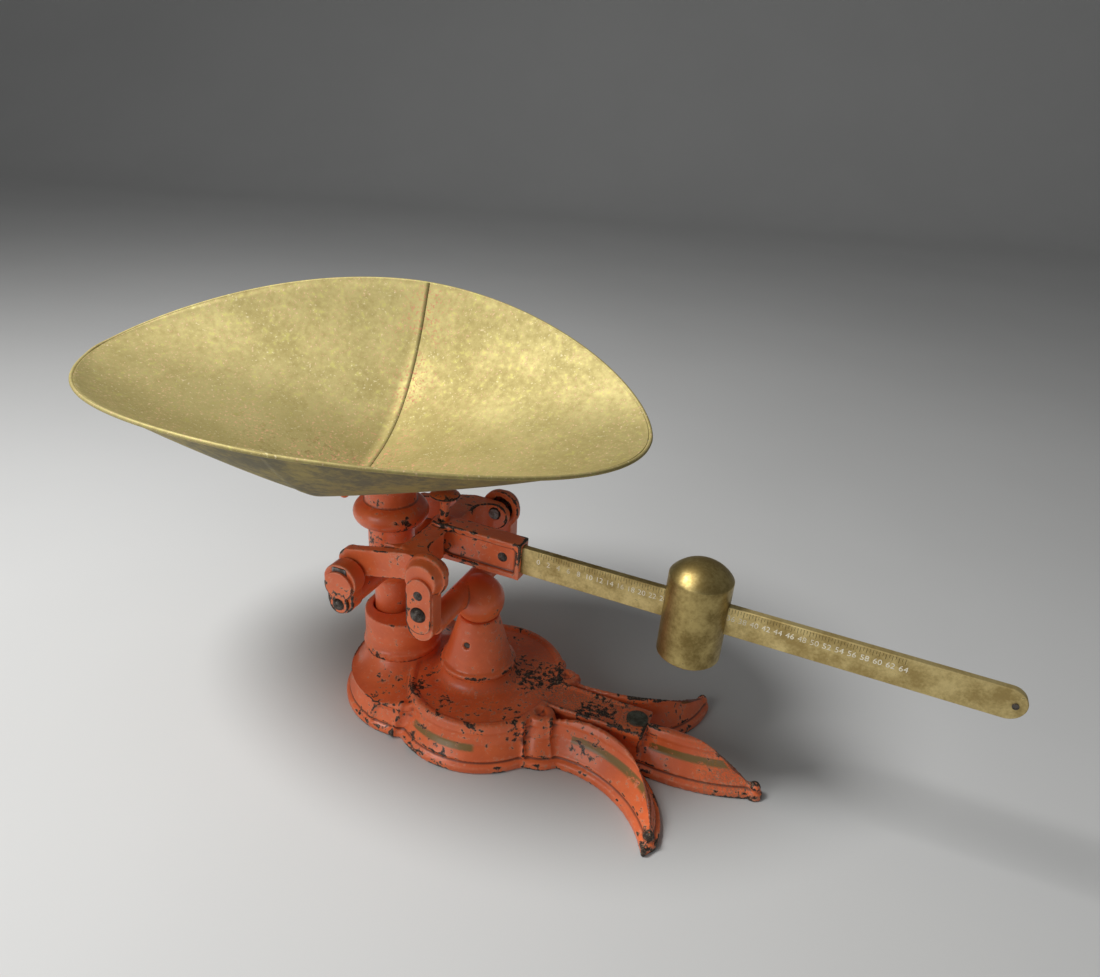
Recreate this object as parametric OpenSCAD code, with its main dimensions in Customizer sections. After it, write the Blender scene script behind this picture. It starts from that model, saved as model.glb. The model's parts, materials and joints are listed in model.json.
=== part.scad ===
// Counter scale with an unequal arm beam, a loose scoop and a sliding poise.
// X runs along the beam towards its tip, Y away from the front, Z up. The floor is z = 0.
// The load column stands on x = 0, y = 0. The beam turns about an axis along Y.

/* [Base casting] */
// radius of the left lobe of the base
left_lobe_r = 51; // [44:1:60]
// distance of the left lobe centre from the load column
left_lobe_x = 25; // [20:1:32]
// radius of the large bulging lobe
main_lobe_r = 54; // [46:1:64]
// distance of the large lobe centre from the load column
main_lobe_x = 68; // [58:1:82]
// height of the base
base_h = 28; // [25:1:34]
// height of the plinth step round the foot
plinth_h = 5; // [3:0.5:8]
// wall thickness of the hollow casting
wall_t = 4; // [3:0.5:5]
// how far the walls lean in between plinth and rim
wall_lean = 9; // [6:0.5:11]
// length of the tail, from the disc to the tip of the middle prong
tail_len = 77; // [64:1:92]
// half width of the middle prong
prong_half_w = 14; // [11:0.5:17]

/* [Pedestals] */
// distance between load pivot and fulcrum pivot
arm_len = 51.5; // [44:0.5:60]
// height of the pivot line above the floor
pivot_z = 114.5; // [108:0.5:130]
// how much lower the load pivots sit than the fulcrum
load_drop = 8; // [4:0.5:10]
// radius of the pedestal round the load column
left_ped_r = 23.5; // [20:0.5:25]
// height of that pedestal
left_ped_h = 57; // [46:1:62]
// radius at the neck of the fulcrum pedestal
right_ped_r = 12.2; // [11.2:0.1:14]
// height of the fulcrum pedestal
right_ped_h = 68; // [60:1:72]
// distance of the fulcrum pedestal from the load column
right_ped_x = 61; // [56:1:68]

/* [Fulcrum stand] */
// radius of the ball under the fork
ball_r = 15; // [12:0.5:17]
// radius of a fork arm
fork_r = 7; // [5.5:0.5:8]
// radius of the arch that surrounds a fulcrum knife
arch_r = 12.5; // [11.5:0.5:15]
// radius of the opening in that arch
arch_hole_r = 8; // [7.5:0.5:9.5]
// thickness of the cover plates
cover_t = 1.8; // [1.2:0.2:2.6]

/* [Lever and bar] */
// angle of the bar below level as drawn
rest_tilt = 1.2; // [0:0.1:1.6]
// distance of the inner face of a tine from the middle plane
tine_y = 36; // [33:0.5:42]
// thickness of a tine
tine_t = 6; // [5:0.5:8]
// height of the tines and the web
tine_h = 17; // [14:0.5:20]
// height of the brass bar
bar_h = 17.2; // [13:0.2:20]
// thickness of the brass bar
bar_t = 4.2; // [3:0.2:5.6]
// reach of the bar tip from the load column
bar_reach = 350; // [300:1:400]
// end of the socket that grips the bar
socket_end = 88; // [80:1:98]
// width of the socket across the beam
socket_w = 12; // [10:0.5:15]
// height of the socket
socket_h = 23; // [21:0.5:26]

/* [Poise] */
// radius of the sliding poise
poise_r = 17.3; // [14:0.1:21]
// height of the straight side of the poise
poise_h = 48; // [40:0.5:58]
// place of the poise axis, measured from the load column
poise_x = 189; // [150:1:260]
// side gap between the poise slot and the bar
poise_gap = 0.3; // [0.2:0.05:0.6]

/* [Load column] */
// radius of the stem above the collar
stem_r = 15.4; // [12.5:0.2:17]
// radius of the bulbous collar
collar_r = 22.6; // [19:0.2:24]
// height of the top of the stem above the pivot line
stem_rise = 26; // [21.5:0.5:26.5]
// length of a loop along its axis
loop_len = 10; // [8:0.5:13]
// radius of the round top of a load loop
hood_r = 10.5; // [9.5:0.5:12]
// radius of the guide spindle under the column
spindle_r = 11; // [8:0.5:11.5]

/* [Scoop] */
// half length of the scoop
scoop_a = 163; // [135:1:200]
// half width of the scoop at the seam
scoop_b = 104; // [85:1:128]
// depth of the scoop at the seam
scoop_depth = 73; // [60:1:82]
// how much lower the two ends are than the sides
end_drop = 24.7; // [15:0.5:32]
// thickness of the brass sheet
sheet_t = 1; // [0.8:0.1:1.6]
// turn of the scoop seen from above
scoop_turn = 11.4; // [0:0.2:20]
// lean of the scoop towards the front
scoop_lean = 9.6; // [0:0.2:12]

/* [Check link] */
// height of the fixed end of the check link above the floor
link_z = 19; // [17:0.5:19.5]
// radius of the link pins
pin_r = 2.5; // [2:0.1:3]
// running gap of the pins
pin_gap = 0.05; // [0.03:0.01:0.1]

/* [Hidden] */
$fn = 96;
eps = 0.01;

tail_x = 166;
prong_mid_x = tail_x + 21;
prong_span = tail_x + tail_len - prong_mid_x;
prong_big_r = (prong_span * prong_span + prong_half_w * prong_half_w) / (2 * prong_half_w);
horn_at = [140, 62];
horn_r = 58;
hollow_at = [134, 95];
hollow_r = 64.5;
tip_ring_r = 143;
deck_z = base_h - wall_t;
left_deck = base_h - 5;

tine_out = tine_y + tine_t;
side_gap = 1.5;
loop_in = tine_out + side_gap;
loop_out = loop_in + loop_len;
hood_in = loop_out - 1.6;
tine_z = pivot_z + 0.8;
fit_gap = 0.3;

col_dx = arm_len * (1 - cos(rest_tilt)) - load_drop * sin(rest_tilt);
col_dz = arm_len * sin(rest_tilt) + load_drop * (1 - cos(rest_tilt));
bore_r = spindle_r + 1.5;
left_ped_x = 7;
hub_z = pivot_z - 27.5;
collar_z = pivot_z + 8;
load_z = pivot_z - load_drop;
low_pin_z = link_z - load_drop;
load_arch_z = load_z - 6;
ful_arch_z = pivot_z + 2.5;
ball_z = pivot_z - 35.5;
fork_z = pivot_z - 29.5;
stand_r = 7;
stand_pin_z = 54;
foot_z = pivot_z - 27.5;
rivet_z = pivot_z - 17.5;
pin_z = pivot_z - 5.5;
load_rivet_z = load_arch_z - 14;
bearing_w = 9;
shank_r = 3.4;
web_x = collar_r + 6.4;
web_w = 13;
knob_x = web_x + 7;
bar_start = arm_len - 1.5;
bar_rivet_x = arm_len + 25;
pocket_x = arm_len - 7.5;
pocket_in = 2;
knob_z = pivot_z + 25;
stem_top = pivot_z + stem_rise;
poise_top = 21;
poise_ball = (poise_r * poise_r + 81) / 18;
open_gap = 0.7;
scoop_at = [-12.5, -11.5, stem_top + 80.3];
plan_power = 1.83;
skin_power = 2.5;
rows = 14;
cols = 22;
rim_steps = 96;
wire_r = 1.5;
rim_out = sheet_t + wire_r + 0.25;
pad_r = 3;
pad_out = 30;
keel_slope = (scoop_depth - end_drop) / scoop_a;
side_slope = skin_power * scoop_depth * pow(pad_out / scoop_b, skin_power) / pad_out;

module beam_frame() {
    translate([arm_len, 0, pivot_z]) rotate([0, rest_tilt, 0]) translate([-arm_len, 0, -pivot_z])
        children();
}

module column_frame() {
    translate([col_dx, 0, col_dz]) children();
}

module along_y(x, z, r, y0, y1) {
    translate([x, y1, z]) rotate([90, 0, 0]) cylinder(h = y1 - y0, r = r);
}

module side(s) {
    if (s < 0) {
        mirror([0, 1, 0]) children();
    } else {
        children();
    }
}

// ---- base ----

module outer_prong(z0, z1, g0, g1, h0, h1) {
    intersection() {
        translate([horn_at[0], horn_at[1], z0])
            cylinder(h = z1 - z0, r1 = horn_r - g0, r2 = horn_r - g1);
        difference() {
            translate([98, 0, z0]) cube([110, 70, z1 - z0]);
            translate([hollow_at[0], hollow_at[1], z0 - eps])
                cylinder(h = z1 - z0 + 2 * eps, r1 = hollow_r + h0, r2 = hollow_r + h1);
        }
        translate([68, 0, z0])
            cylinder(h = z1 - z0, r1 = tip_ring_r - g0, r2 = tip_ring_r - 0.8 * g1);
    }
}

module middle_prong(z0, z1, g0, g1) {
    intersection() {
        translate([prong_mid_x, prong_half_w - prong_big_r, z0])
            cylinder(h = z1 - z0, r1 = prong_big_r - g0, r2 = prong_big_r - g1);
        translate([prong_mid_x, prong_big_r - prong_half_w, z0])
            cylinder(h = z1 - z0, r1 = prong_big_r - g0, r2 = prong_big_r - g1);
        translate([tail_x - 20, -20, z0]) cube([tail_len + 40, 40, z1 - z0]);
    }
}

module lobes(z0, z1, g0, g1) {
    translate([main_lobe_x, 6, z0]) cylinder(h = z1 - z0, r1 = main_lobe_r - g0, r2 = main_lobe_r - g1);
    translate([main_lobe_x, -6, z0]) cylinder(h = z1 - z0, r1 = main_lobe_r - g0, r2 = main_lobe_r - g1);
}

module left_lobe(z0, z1, g0, g1) {
    translate([left_lobe_x, 0, z0]) cylinder(h = z1 - z0, r1 = left_lobe_r - g0, r2 = left_lobe_r - g1);
}

module base_solid() {
    left_lobe(0, plinth_h, 0, 0);
    left_lobe(plinth_h - eps, left_deck, 1.5, 3.5);
    lobes(0, plinth_h, 0, 0);
    lobes(plinth_h - eps, base_h, 1.5, wall_lean);
    for (s = [-1, 1]) side(s) {
        translate([113, 19, 0]) cylinder(h = plinth_h, r = 19.5);
        translate([113, 19, plinth_h - eps])
            cylinder(h = base_h - plinth_h - 1, r1 = 17.5, r2 = 19.5 - 1.45 * wall_lean);
        outer_prong(0, plinth_h, 0, 0, 0, 0);
        outer_prong(plinth_h - eps, base_h - 0.5, 1.5, 12, 1.5, 15);
        rib([14, 48, 1.5], [17, 46, left_deck - 5]);
        rib([111.5, 39, 1], [106, 30, base_h - 0.8]);
        rib([126, 32, 1], [119, 21, base_h - 0.8]);
    }
    for (s = [-1, 1]) side(s) toe(193.5, 60.5);
    toe(tail_x + tail_len - 4.5, 0);
    middle_prong(0, plinth_h, 0, 0);
    middle_prong(plinth_h - eps, base_h - 0.7, 1.5, prong_half_w - 1.5);
    translate([90, -11, 0]) cube([tail_x - 84, 22, base_h - 0.6]);
}

module toe(x, y) {
    // blunt end of a prong
    translate([x, y, 0]) cylinder(h = plinth_h + 5, r1 = 4.4, r2 = 3);
}

module rib(foot, head) {
    // a rounded rib that runs up the leaning wall
    rod(foot, head, 1.7);
}

module left_pedestal() {
    translate([left_ped_x, 0, 0]) {
        cylinder(h = left_ped_h, r = left_ped_r);
        translate([0, 0, left_deck]) rotate_extrude() difference() {
            square([left_ped_r + 9, 9]);
            translate([left_ped_r + 9, 9]) circle(r = 9);
        }
        translate([0, 0, left_deck + 12]) rotate_extrude() translate([left_ped_r, 0]) circle(r = 1.4);
    }
}

module right_pedestal() {
    foot_r = right_ped_r + 12.3;
    translate([0, 0, base_h - 2])
        cylinder(h = right_ped_h - base_h + 2, r1 = foot_r, r2 = right_ped_r);
    translate([0, 0, base_h - 0.3]) rotate_extrude() difference() {
        square([foot_r + 6, 10]);
        translate([foot_r + 6, 10]) circle(r = 10);
    }
    translate([0, 0, base_h + 8]) rotate_extrude() translate([foot_r - 2.5, 0]) circle(r = 1.6);
}

module base() {
    color("firebrick") difference() {
        union() {
            difference() {
                base_solid();
                left_lobe(-eps, left_deck - wall_t, wall_t + 1, wall_t + 3.5);
                lobes(-eps, deck_z, wall_t + 1, wall_t + wall_lean);
                translate([80, -7, -eps]) cube([tail_x - 76, 14, deck_z]);
            }
            difference() {
                left_pedestal();
                translate([left_ped_x, 0, -1]) cylinder(h = left_deck - wall_t + 1, r = left_ped_r + 10);
            }
            translate([right_ped_x, 0, 0]) right_pedestal();
            translate([arm_len - 6, -5.5, link_z - 6]) cube([12, 11, deck_z - link_z + 7]);
        }
        translate([0, 0, 5]) cylinder(h = left_ped_h, r = bore_r);
        translate([left_ped_x + 2, 0, -1]) cylinder(h = left_ped_h - 6, r = left_ped_r - wall_t - 2.6);
        translate([right_ped_x, 0, base_h + 6]) cylinder(h = right_ped_h, r = stand_r);
        along_y(right_ped_x, stand_pin_z, 2, -30, 30);
        along_y(arm_len, link_z, pin_r, -8, 8);
        translate([tail_x, 0, base_h - 6.6]) cylinder(h = 10, r = 2.5);
    }
}

module tail_disc() {
    color("gray") translate([tail_x, 0, 0]) {
        translate([0, 0, base_h - 6]) cylinder(h = 6, r = 2.5);
        translate([0, 0, base_h - 0.6]) cylinder(h = 1.3, r = 6.3);
    }
}

module stand_pin() {
    color("dimgray") along_y(right_ped_x, stand_pin_z, 2, -15.4, 15.4);
}

module link_pin() {
    color("dimgray") along_y(arm_len, link_z, pin_r, -10.6, 10.6);
}

// ---- fulcrum stand ----

module fulcrum_loop() {
    difference() {
        union() {
            along_y(arm_len, ful_arch_z, arch_r, loop_in, loop_in + 4.5);
            translate([arm_len, loop_in + 4.4, ful_arch_z]) rotate([-90, 0, 0])
                cylinder(h = loop_len - 4.4, r1 = arch_r - 1.2, r2 = arch_r - 3.2);
            translate([arm_len - 8, loop_in, foot_z]) cube([16, 4.5, ful_arch_z - foot_z]);
            along_y(arm_len, foot_z, 8, loop_in, loop_out);
            translate([arm_len - 8, loop_in, foot_z]) cube([16, loop_len, pivot_z - 5 - foot_z]);
        }
        along_y(arm_len, ful_arch_z, arch_hole_r, loop_in - 1, hood_in);
        translate([arm_len - bearing_w / 2, loop_in + 4.5, pivot_z - 13])
            cube([bearing_w, hood_in - loop_in - 4.5, 17]);
        along_y(arm_len, rivet_z, 2.4, loop_out - 6, loop_out + 1);
    }
}

module fulcrum_stand() {
    color("firebrick") {
        translate([right_ped_x, 0, 0]) {
            difference() {
                translate([0, 0, base_h + 7]) cylinder(h = ball_z - base_h - 7, r = stand_r);
                along_y(0, stand_pin_z, 2, -10, 10);
            }
            translate([0, 0, right_ped_h]) cylinder(h = ball_z - right_ped_h, r1 = 9, r2 = 12.5);
            intersection() {
                translate([0, 0, ball_z]) sphere(r = ball_r);
                translate([-30, -30, right_ped_h]) cube([60, 60, 60]);
            }
        }
        along_y(arm_len + 2, fork_z, fork_r, -loop_in - 1, loop_in + 1);
        for (s = [-1, 1]) side(s) fulcrum_loop();
    }
}

module bearing(x, y0, y1, z0, z1, tip, turn) {
    // hardened block with a right angled groove whose bottom line is at height tip
    difference() {
        translate([x - bearing_w / 2, y0, z0]) cube([bearing_w, y1 - y0, z1 - z0]);
        translate([x, y0 - 1, tip]) rotate([0, turn, 0]) cube([20, y1 - y0 + 2, 20]);
    }
}

module fulcrum_bearing(s) {
    color("silver") side(s)
        bearing(arm_len, loop_in + 4.5, hood_in, pivot_z - 13, pivot_z + 2, pivot_z - fit_gap, -45);
}

module fulcrum_cover(s) {
    color("indianred") side(s) difference() {
        union() {
            along_y(arm_len, foot_z + 5, 7.5, loop_out, loop_out + cover_t);
            along_y(arm_len, pivot_z - 3, 7.5, loop_out, loop_out + cover_t);
            translate([arm_len - 7.5, loop_out, foot_z + 5])
                cube([15, cover_t, pivot_z - foot_z - 8]);
        }
        along_y(arm_len, rivet_z, 2.4, loop_out - 1, loop_out + cover_t + 1);
        along_y(arm_len, pin_z, 1.8, loop_out - 1, loop_out + cover_t + 1);
    }
}

module dome(x, y, z, r, h) {
    // low round head that sits on the plane at y and bulges outwards
    ball = (r * r + h * h) / (2 * h);
    translate([x, y, z]) rotate([-90, 0, 0]) intersection() {
        translate([0, 0, h - ball]) sphere(r = ball);
        cylinder(h = h + 1, r = r);
    }
}

module fulcrum_rivets(s) {
    color("dimgray") side(s) {
        along_y(arm_len, rivet_z, 2.4, loop_out - 6, loop_out + cover_t);
        dome(arm_len, loop_out + cover_t, rivet_z, 4.8, 3);
        along_y(arm_len, pin_z, 1.8, loop_out, loop_out + cover_t);
        dome(arm_len, loop_out + cover_t, pin_z, 2.8, 1);
    }
}

// ---- lever, bar and poise ----

module tine() {
    half = tine_h / 2;
    translate([0, tine_out, tine_z]) rotate([90, 0, 0]) linear_extrude(height = tine_t)
        polygon([[0, half - load_drop], [arm_len - 16, half], [arm_len, half],
            [arm_len, -half], [arm_len - 16, -half], [0, -half - load_drop]]);
    along_y(0, tine_z - load_drop, half, tine_y, tine_out);
    along_y(arm_len, tine_z, tine_h / 2, tine_y, tine_out);
}

module gusset(x, way) {
    // hollow quarter round in the corner of web and tine
    g = 11;
    translate([x, tine_y, tine_z - tine_h / 2]) difference() {
        translate([way > 0 ? -0.5 : -g, -g, way > 0 ? 0 : -1]) cube([g + 0.5, g + 0.5, tine_h]);
        translate([way * g, -g, -5]) cylinder(h = tine_h + 10, r = g);
    }
}

module pocket() {
    translate([pocket_x, socket_w / 2 - pocket_in, pivot_z - 8])
        cube([socket_end - 3 - pocket_x, 5, 16]);
    along_y(pocket_x, pivot_z, 8, socket_w / 2 - pocket_in, socket_w / 2 + 4);
}

module lever() {
    color("firebrick") beam_frame() difference() {
        union() {
            side(1) tine();
            side(-1) tine();
            translate([web_x, -tine_y - 1, tine_z - tine_h / 2])
                cube([web_w, 2 * tine_y + 2, tine_h]);
            translate([web_x + 2, -socket_w / 2, pivot_z - socket_h / 2])
                cube([socket_end - web_x - 2, socket_w, socket_h]);
            translate([knob_x, 0, tine_z]) cylinder(h = tine_h / 2 + 2, r = 7);
            for (s = [-1, 1]) side(s) {
                gusset(web_x, -1);
                gusset(web_x + web_w, 1);
            }
        }
        translate([bar_start, -bar_t / 2, pivot_z - bar_h / 2]) cube([80, bar_t, bar_h]);
        side(1) pocket();
        side(-1) pocket();
        along_y(bar_rivet_x, pivot_z, 2.2, -20, 20);
        along_y(arm_len, pivot_z + 3, shank_r, -60, -20);
        along_y(arm_len, pivot_z + 3, shank_r, 20, 60);
        along_y(0, load_z - 3, shank_r, -60, -20);
        along_y(0, load_z - 3, shank_r, 20, 60);
        translate([knob_x, 0, tine_z + 1]) cylinder(h = tine_h, r = 3);
    }
}

module wedge(x, z, up, y0, y1) {
    // long edge at height z; up = 1 points the body upwards, -1 downwards
    translate([x, y1, z]) rotate([90, 0, 0]) linear_extrude(height = y1 - y0)
        polygon([[0, 0], [3.2, 6 * up], [-3.2, 6 * up]]);
}

module knife(x, z, up) {
    along_y(x, z + 3 * up, shank_r, tine_y - 1.2, tine_out + 1);
    wedge(x, z, up, tine_out + 0.05, loop_out - 2);
}

module fulcrum_knife(s) {
    color("silver") beam_frame() side(s) knife(arm_len, pivot_z, 1);
}

module load_knife(s) {
    color("silver") beam_frame() side(s) knife(0, load_z, -1);
}

module bar() {
    color("goldenrod") beam_frame() difference() {
        union() {
            translate([bar_start, -bar_t / 2, pivot_z - bar_h / 2])
                cube([bar_reach - bar_h / 2 - bar_start, bar_t, bar_h]);
            along_y(bar_reach - bar_h / 2, pivot_z, bar_h / 2, -bar_t / 2, bar_t / 2);
        }
        along_y(bar_rivet_x, pivot_z, 2.2, -10, 10);
        along_y(bar_reach - 5.5, pivot_z, 1.6, -10, 10);
    }
}

module bar_rivet() {
    color("dimgray") beam_frame() {
        along_y(bar_rivet_x, pivot_z, 2.2, pocket_in - socket_w / 2, socket_w / 2 - pocket_in);
        dome(bar_rivet_x, socket_w / 2 - pocket_in, pivot_z, 3, 1);
        mirror([0, 1, 0]) dome(bar_rivet_x, socket_w / 2 - pocket_in, pivot_z, 3, 1);
    }
}

module stop_pin() {
    color("dimgray") beam_frame()
        along_y(bar_reach - 5.5, pivot_z, 1.6, -bar_t / 2 - 0.8, bar_t / 2 + 0.8);
}

module balance_knob() {
    color("indianred") beam_frame() translate([knob_x, 0, 0]) {
        translate([0, 0, tine_z + 1.1]) cylinder(h = knob_z - tine_z, r = 2.95);
        translate([0, 0, knob_z]) cylinder(h = 2.5, r1 = 6, r2 = 9);
        translate([0, 0, knob_z + 2.5]) intersection() {
            translate([0, 0, 3 - 15]) sphere(r = 15);
            cylinder(h = 5, r = 9);
        }
    }
}

module poise() {
    color("goldenrod") beam_frame() translate([poise_x, 0, pivot_z]) difference() {
        union() {
            translate([0, 0, poise_top - poise_h]) cylinder(h = poise_h, r = poise_r);
            translate([0, 0, poise_top - eps]) intersection() {
                translate([0, 0, 9 - poise_ball]) sphere(r = poise_ball);
                cylinder(h = 12, r = poise_r);
            }
        }
        translate([-30, -bar_t / 2 - poise_gap, -bar_h / 2 - poise_gap])
            cube([60, bar_t + 2 * poise_gap, bar_h + 2 * poise_gap]);
    }
}

// ---- load column ----

module load_loop() {
    difference() {
        union() {
            along_y(0, load_arch_z, hood_r, loop_in, loop_out);
            translate([-8.5, loop_in, hub_z + 1]) cube([17, loop_len, load_arch_z - hub_z - 1]);
            along_y(0, hub_z + 1, 8.5, loop_in, loop_out);
        }
        along_y(0, load_arch_z, 6.5, loop_in - 1, loop_out + 1);
        translate([-bearing_w / 2, loop_in - 1, load_z - 1.5]) cube([bearing_w, loop_len + 2, 4]);
        along_y(0, load_rivet_z, 2, loop_out - 6, loop_out + 1);
    }
}

module column() {
    color("firebrick") column_frame() difference() {
        union() {
            translate([0, 0, low_pin_z - 4.5]) cylinder(h = 44 - low_pin_z + 6, r = 5);
            translate([0, 0, 44]) cylinder(h = 6, r1 = 5, r2 = spindle_r);
            translate([0, 0, 50 - eps]) cylinder(h = hub_z - 50, r = spindle_r);
            translate([0, 0, hub_z]) sphere(r = 15);
            translate([0, 0, hub_z]) cylinder(h = collar_z - hub_z, r = 14);
            translate([0, 0, collar_z]) rotate_extrude() translate([collar_r - 7, 0]) circle(r = 7);
            translate([0, 0, collar_z - 5]) cylinder(h = 11, r = collar_r - 4);
            translate([0, 0, collar_z]) cylinder(h = stem_top - collar_z, r = stem_r);
            along_y(0, hub_z, 7, -loop_in - 1, loop_in + 1);
            side(1) load_loop();
            side(-1) load_loop();
        }
        translate([0, 0, stem_top - 14]) cylinder(h = 20, r = 5);
        along_y(0, low_pin_z, pin_r, -10, 10);
    }
}

module load_bearing(s) {
    color("silver") column_frame() side(s)
        bearing(0, loop_in, loop_out, load_z - 1.5, load_z + 2.5, load_z + fit_gap, 135);
}

module load_cover(s) {
    color("indianred") column_frame() side(s) difference() {
        union() {
            along_y(0, load_arch_z - 2.4, 9, loop_out, loop_out + cover_t);
            along_y(0, load_rivet_z, 6, loop_out, loop_out + cover_t);
        }
        along_y(0, load_rivet_z, 2, loop_out - 1, loop_out + 5);
    }
}

module load_rivet(s) {
    color("dimgray") column_frame() side(s) {
        along_y(0, load_rivet_z, 2, loop_out - 6, loop_out + cover_t);
        dome(0, loop_out + cover_t, load_rivet_z, 3.8, 2.4);
    }
}

module column_pin() {
    color("dimgray") column_frame() along_y(0, low_pin_z, pin_r, -10.6, 10.6);
}

module link_frame() {
    translate([arm_len, 0, link_z]) rotate([0, rest_tilt, 0]) translate([-arm_len, 0, -link_z])
        children();
}

module check_link() {
    color("dimgray") link_frame() difference() {
        union() {
            for (s = [-1, 1]) side(s) {
                translate([0, 9.4, link_z]) rotate([90, 0, 0]) linear_extrude(height = 3)
                    polygon([[0, 2.2 - load_drop], [arm_len, 2.2], [arm_len, -3], [0, -3 - load_drop]]);
                along_y(0, low_pin_z, 4.6, 6.4, 9.4);
                along_y(arm_len, link_z, 4.6, 6.4, 9.4);
            }
            translate([22, -8, link_z - 6.5]) cube([10, 16, 5]);
        }
        along_y(0, low_pin_z, pin_r + open_gap, -20, 20);
        along_y(arm_len, link_z, pin_r + pin_gap, -20, 20);
    }
}

// ---- scoop and its cradle ----

function turn_x(p, a) = [p[0], p[1] * cos(a) - p[2] * sin(a), p[1] * sin(a) + p[2] * cos(a)];
function turn_y(p, a) = [p[0] * cos(a) + p[2] * sin(a), p[1], p[2] * cos(a) - p[0] * sin(a)];
function turn_z(p, a) = [p[0] * cos(a) - p[1] * sin(a), p[0] * sin(a) + p[1] * cos(a), p[2]];
function place(p) = scoop_at + turn_z(turn_y(turn_x(p, scoop_lean), 2.1), scoop_turn);

// shape of the sheet: height above the seam rim, as a curve across and a straight run along
function run(x) = abs(x) / scoop_a;
function half_width(x) = scoop_b * pow(1 - pow(run(x), plan_power), 1 / plan_power);
function rim_z(x) = -end_drop * run(x) * run(x);
function keel_z(x) = -scoop_depth + (scoop_depth - end_drop) * run(x);
function skin(x, v) = [x, v * half_width(x),
    keel_z(x) + (rim_z(x) - keel_z(x)) * pow(abs(v), skin_power)];
function unit(p) = p / norm(p);
function skin_at(s, i, j) = skin(s * scoop_a * 0.995 * sin(90 * i / rows), 2 * j / cols - 1);
function normal_at(s, i, j) = let (
    i0 = max(i - 1, 0), i1 = min(i + 1, rows), j0 = max(j - 1, 0), j1 = min(j + 1, cols))
    s * unit(cross(skin_at(s, i1, j) - skin_at(s, i0, j), skin_at(s, i, j1) - skin_at(s, i, j0)));
function outer_at(s, i, j) = skin_at(s, i, j) - sheet_t * (i == 0
    ? unit([0, normal_at(s, 0, j)[1], normal_at(s, 0, j)[2]]) : normal_at(s, i, j));

module scoop_half(s) {
    n = cols + 1;
    total = (rows + 1) * n;
    inner = [for (i = [0:rows]) for (j = [0:cols]) place(skin_at(s, i, j))];
    outer = [for (i = [0:rows]) for (j = [0:cols]) place(outer_at(s, i, j))];
    top_faces = [for (i = [0:rows - 1]) for (j = [0:cols - 1]) for (k = [0, 1])
        k == 0 ? [i * n + j, i * n + j + 1, (i + 1) * n + j + 1]
               : [i * n + j, (i + 1) * n + j + 1, (i + 1) * n + j]];
    under_faces = [for (f = top_faces) [f[2] + total, f[1] + total, f[0] + total]];
    seam_faces = [for (j = [0:cols - 1]) for (k = [0, 1])
        k == 0 ? [j + 1, j, j + total] : [j + 1, j + total, j + 1 + total]];
    tip_faces = [for (j = [0:cols - 1]) for (k = [0, 1])
        k == 0 ? [rows * n + j, rows * n + j + 1, rows * n + j + 1 + total]
               : [rows * n + j, rows * n + j + 1 + total, rows * n + j + total]];
    low_faces = [for (i = [0:rows - 1]) for (k = [0, 1])
        k == 0 ? [i * n, (i + 1) * n, (i + 1) * n + total]
               : [i * n, (i + 1) * n + total, i * n + total]];
    high_faces = [for (i = [0:rows - 1]) for (k = [0, 1])
        k == 0 ? [(i + 1) * n + cols, i * n + cols, i * n + cols + total]
               : [(i + 1) * n + cols, i * n + cols + total, (i + 1) * n + cols + total]];
    all_faces = concat(top_faces, under_faces, seam_faces, tip_faces, low_faces, high_faces);
    color("darkkhaki") column_frame() polyhedron(
        points = concat(inner, outer),
        faces = s > 0 ? all_faces : [for (f = all_faces) [f[2], f[1], f[0]]],
        convexity = 6);
}

function rim_point(k) = let (t = 360 * k / rim_steps, c = cos(t), q = sin(t),
    x = scoop_a * 0.995 * c,
    y = (q < 0 ? -1 : 1) * half_width(x))
    [x + rim_out * c, y + rim_out * q, rim_z(x) - 0.6];
function ring_dir(k) = unit(rim_point(k + 1) - rim_point(k - 1));
function ring_side(k) = unit(cross(ring_dir(k), [0, 0, 1]));

module scoop_rim() {
    m = 10;
    pts = [for (k = [0:rim_steps - 1]) for (w = [0:m - 1])
        place(rim_point(k) + wire_r * (cos(360 * w / m) * ring_side(k)
            + sin(360 * w / m) * unit(cross(ring_side(k), ring_dir(k)))))];
    faces = [for (k = [0:rim_steps - 1]) for (w = [0:m - 1]) for (h = [0, 1])
        let (k2 = (k + 1) % rim_steps, w2 = (w + 1) % m)
        h == 0 ? [k * m + w, k * m + w2, k2 * m + w2] : [k * m + w, k2 * m + w2, k2 * m + w]];
    color("darkkhaki") column_frame() polyhedron(points = pts, faces = faces, convexity = 6);
}

module rod(p, q, r) {
    d = q - p;
    translate(p) rotate([0, acos(d[2] / norm(d)), atan2(d[1], d[0])]) cylinder(h = norm(d), r = r);
}

module pad(x, y, slope) {
    // a ball that stays 0.35 mm under the sheet
    sheet_z = skin(x, y / half_width(x))[2];
    foot = place([x, y, sheet_z - (pad_r + sheet_t + 0.35) * sqrt(1 + slope * slope)]);
    translate(foot) sphere(r = pad_r);
    rod([foot[0] * 0.25, foot[1] * 0.25, stem_top + 2.2], foot, 2);
}

module cradle() {
    color("firebrick") column_frame() {
        translate([0, 0, stem_top - 12]) cylinder(h = 13, r = 5);
        translate([0, 0, stem_top]) cylinder(h = 3, r = 19);
        pad(pad_out, 0, keel_slope);
        pad(-pad_out, 0, keel_slope);
        pad(0, pad_out, side_slope);
        pad(0, -pad_out, side_slope);
    }
}

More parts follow.
